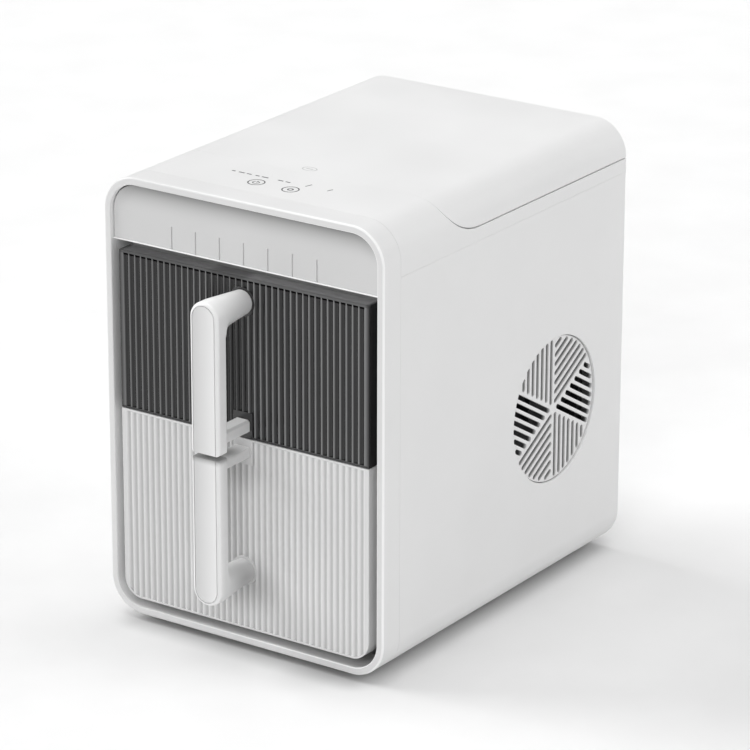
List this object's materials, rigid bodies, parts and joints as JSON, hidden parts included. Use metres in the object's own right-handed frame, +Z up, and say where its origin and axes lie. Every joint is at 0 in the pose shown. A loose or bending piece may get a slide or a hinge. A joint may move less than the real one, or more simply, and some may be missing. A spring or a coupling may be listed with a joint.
{
  "type": "countertop ice maker",
  "caption": "Countertop ice maker with a smoked ice drawer over a white water drawer, fluted fronts, upright bar handles, hinged rear lid and round side vent.",
  "frame": {"origin": "middle of the overall footprint, handles and hinge barrels included, on the countertop", "axes": "+X to the right seen from the front, +Y from the front to the back, +Z up"},
  "size_m": [0.24, 0.3644, 0.338],
  "materials": {
    "white_shell": "satin white moulding",
    "white_panel": "satin white panel",
    "grey_fascia": "satin pale grey with engraved marks",
    "smoked_front": "glossy smoke-black, fluted",
    "clear_box": "translucent moulding",
    "inner_liner": "white food-grade moulding",
    "black_plastic": "moulded black",
    "soft_rubber": "moulded rubber",
    "plated_steel": "zinc plated",
    "black_enamel": "black enamel",
    "aluminium_parts": "bare aluminium",
    "copper_lines": null,
    "circuit_boards": "green solder mask"
  },
  "bodies": {
    "housing": {"front_frame": "white_shell", "upper_cover": "white_shell", "lid_hinge_bracket_left": "white_shell", "lid_hinge_bracket_right": "white_shell", "right_side_panel": "white_panel", "left_side_panel": "white_panel", "rear_cover": "white_panel", "vent_grille": "white_panel", "front_fascia": "grey_fascia", "ice_runner_left": "inner_liner", "ice_runner_right": "inner_liner", "tank_runner_left": "inner_liner", "tank_runner_right": "inner_liner", "bay_shelf": "inner_liner", "bulkhead": "inner_liner", "chamber_tub": "inner_liner", "fan_shroud": "black_plastic", "tray_motor": "black_plastic", "water_pump": "black_plastic", "power_inlet": "black_plastic", "pump_hose": "soft_rubber", "foot_front_left": "soft_rubber", "foot_front_right": "soft_rubber", "foot_rear_left": "soft_rubber", "foot_rear_right": "soft_rubber", "compressor_mount_1": "soft_rubber", "compressor_mount_2": "soft_rubber", "compressor_mount_3": "soft_rubber", "base_plate": "plated_steel", "condenser_stand": "plated_steel", "fan_motor": "plated_steel", "lid_hinge_pin_left": "plated_steel", "lid_hinge_pin_right": "plated_steel", "rear_screw_upper_left": "plated_steel", "rear_screw_upper_right": "plated_steel", "rear_screw_lower_left": "plated_steel", "rear_screw_lower_right": "plated_steel", "compressor": "black_enamel", "condenser": "aluminium_parts", "evaporator": "aluminium_parts", "discharge_line": "copper_lines", "liquid_line": "copper_lines", "suction_line": "copper_lines", "capillary_line": "copper_lines", "filter_drier": "copper_lines", "control_board": "circuit_boards", "power_board": "circuit_boards"},
    "ice_drawer": {"ice_drawer_front": "smoked_front", "ice_bin": "clear_box", "ice_handle": "white_shell", "ice_handle_cap": "white_shell"},
    "tank_drawer": {"tank_drawer_front": "white_shell", "water_tank": "clear_box", "tank_spout": "soft_rubber", "tank_handle": "white_shell", "tank_handle_cap": "white_shell"},
    "lid": {"top_lid": "white_shell"},
    "fan": {"fan_rotor": "black_plastic"},
    "tray": {"water_tray": "inner_liner"},
    "flap": {"chute_flap": "clear_box"}
  },
  "joints": [
    {"name": "ice_drawer_slide", "type": "slide", "parent": "housing", "child": "ice_drawer", "axis": [0, -1, 0], "range_m": [0, 0.12]},
    {"name": "tank_drawer_slide", "type": "slide", "parent": "housing", "child": "tank_drawer", "axis": [0, -1, 0], "range_m": [0, 0.12]},
    {"name": "lid_hinge", "type": "hinge", "parent": "housing", "child": "lid", "pos_m": [0, 0.17825, 0.30905], "axis": [-1, 0, 0], "range_deg": [0, 75]},
    {"name": "fan_spin", "type": "hinge", "parent": "housing", "child": "fan", "pos_m": [0.1, 0.08475, 0.142], "axis": [1, 0, 0], "continuous": true},
    {"name": "water_tray_tilt", "type": "hinge", "parent": "housing", "child": "tray", "pos_m": [0, 0.10855, 0.264], "axis": [1, 0, 0], "range_deg": [0, 40]},
    {"name": "chute_flap_swing", "type": "hinge", "parent": "housing", "child": "flap", "pos_m": [0, 0.02275, 0.286], "axis": [-1, 0, 0], "range_deg": [0, 50]}
  ]
}
